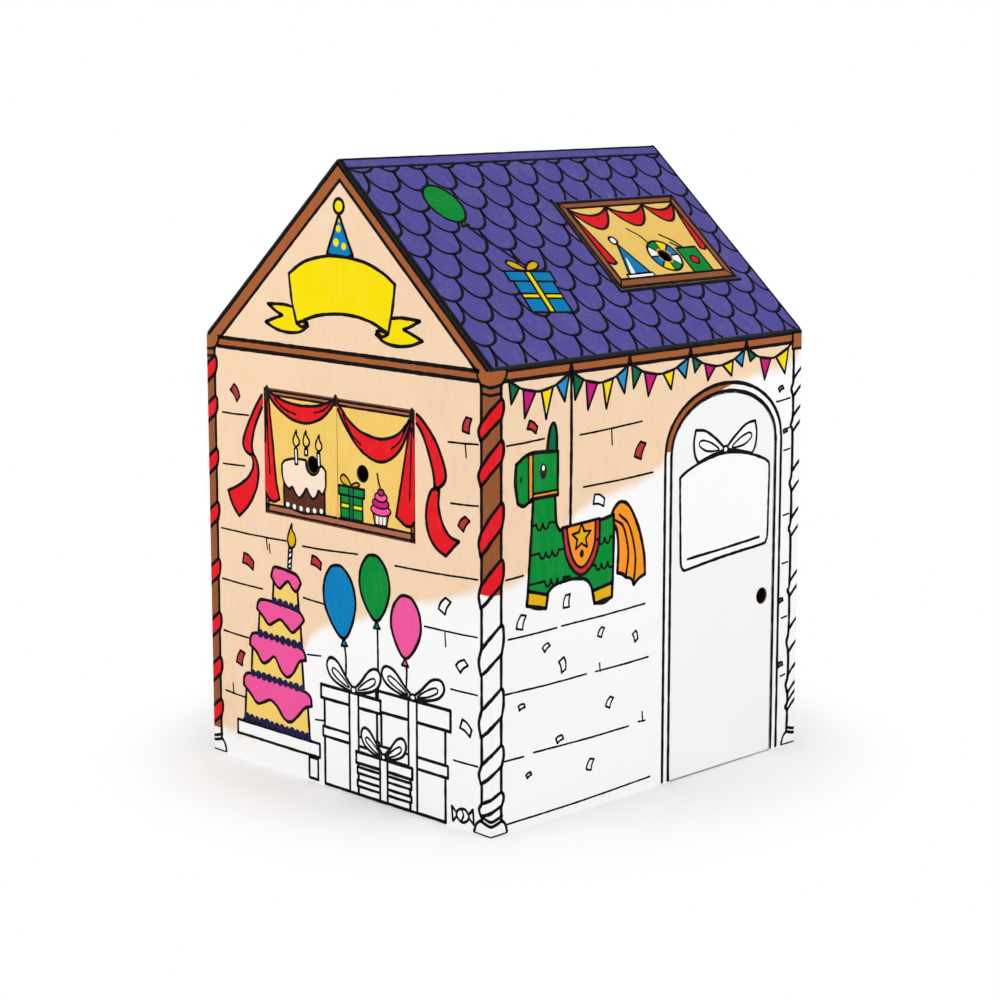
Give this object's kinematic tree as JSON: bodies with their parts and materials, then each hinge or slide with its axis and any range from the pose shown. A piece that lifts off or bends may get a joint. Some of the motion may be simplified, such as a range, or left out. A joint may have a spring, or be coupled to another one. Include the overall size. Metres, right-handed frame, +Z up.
{
  "type": "cardboard playhouse",
  "caption": "Folded corrugated board playhouse with a gabled roof, an arched door, a two-leaf window and a skylight flap, all with finger holes.",
  "frame": {"origin": "on the floor, under the middle of the house", "axes": "+Z up, +X towards the wall with the door, +Y towards the back gable along the ridge; the front gable with the window faces -Y"},
  "size_m": [0.81, 0.885, 1.219],
  "materials": {
    "wall_board": "white corrugated board, printed and partly coloured tan",
    "roof_board": "white corrugated board, printed with purple roof scales",
    "door_board": "white corrugated board, printed with black outlines",
    "window_board": "white corrugated board, printed yellow and red"
  },
  "bodies": {
    "house": {"wall_sheet": "wall_board", "roof_sheet": "roof_board"},
    "door": {"door_flap": "door_board"},
    "left_leaf": {"left_shutter": "window_board"},
    "right_leaf": {"right_shutter": "window_board"},
    "skylight": {"skylight_flap": "window_board"}
  },
  "joints": [
    {"name": "door_crease", "type": "hinge", "parent": "house", "child": "door", "pos_m": [0.405, 0.0505, 0], "axis": [0, 0, -1], "range_deg": [0, 170]},
    {"name": "left_leaf_crease", "type": "hinge", "parent": "house", "child": "left_leaf", "pos_m": [-0.227, -0.4425, 0.6445], "axis": [0, 0, -1], "range_deg": [0, 170]},
    {"name": "right_leaf_crease", "type": "hinge", "parent": "house", "child": "right_leaf", "pos_m": [0.207, -0.4425, 0.6445], "axis": [0, 0, 1], "range_deg": [0, 170]},
    {"name": "skylight_crease", "type": "hinge", "parent": "house", "child": "skylight", "pos_m": [0.10828, 0.2055, 1.12375], "axis": [0, -1, 0], "range_deg": [0, 120]}
  ]
}
